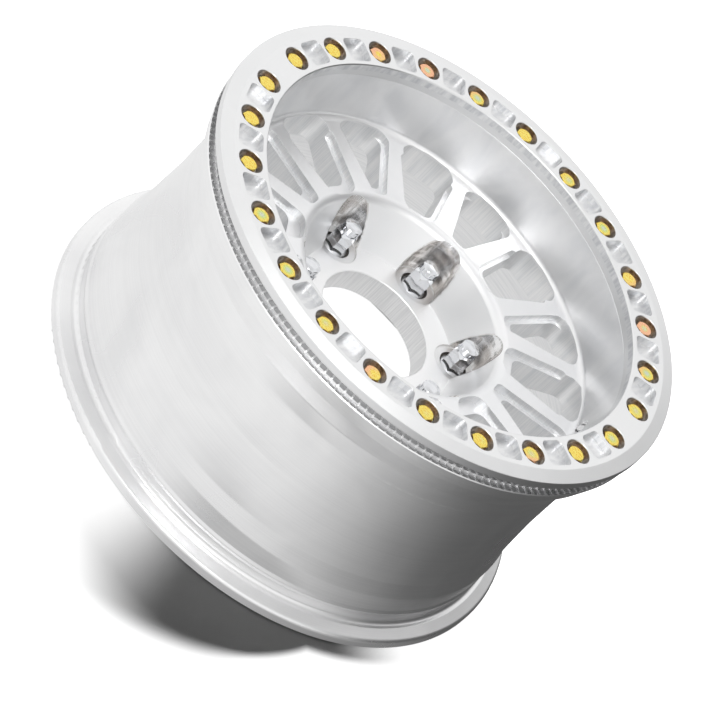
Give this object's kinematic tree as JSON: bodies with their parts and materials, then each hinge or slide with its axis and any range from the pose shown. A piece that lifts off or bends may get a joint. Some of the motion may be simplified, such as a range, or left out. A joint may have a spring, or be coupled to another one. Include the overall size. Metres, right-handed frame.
{
  "type": "beadlock wheel",
  "caption": "Beadlock wheel with a bolted clamp ring, windowed dished face, lug nuts and valve, in bare machined aluminium.",
  "frame": {"origin": "centre of the stud circle and bore, in the hub's mounting face", "axes": "+Z along the wheel's axis towards the outboard side, where the clamp ring is; +X through one clamp bolt"},
  "size_m": [0.4719, 0.472, 0.2508],
  "materials": {
    "wheel_aluminium": "machined, clear",
    "ring_aluminium": "fine turned satin",
    "gold_zinc": "yellow zinc plate",
    "insert_steel": "plain",
    "nut_chrome": "bright chrome",
    "valve_aluminium": "turned",
    "valve_brass": "plain",
    "valve_rubber": "matt"
  },
  "bodies": {
    "root": {"forged_wheel": "wheel_aluminium", "beadlock_ring": "ring_aluminium", "beadlock_bolts": "gold_zinc", "bolt_washers": "gold_zinc", "thread_inserts": "insert_steel", "lug_nut_1": "nut_chrome", "lug_nut_2": "nut_chrome", "lug_nut_3": "nut_chrome", "lug_nut_4": "nut_chrome", "lug_nut_5": "nut_chrome", "lug_nut_6": "nut_chrome", "valve_stem": "valve_aluminium", "valve_grommet": "valve_rubber", "valve_washer": "valve_aluminium", "valve_nut": "valve_aluminium", "valve_core": "valve_brass", "valve_cap": "valve_aluminium"}
  },
  "joints": []
}
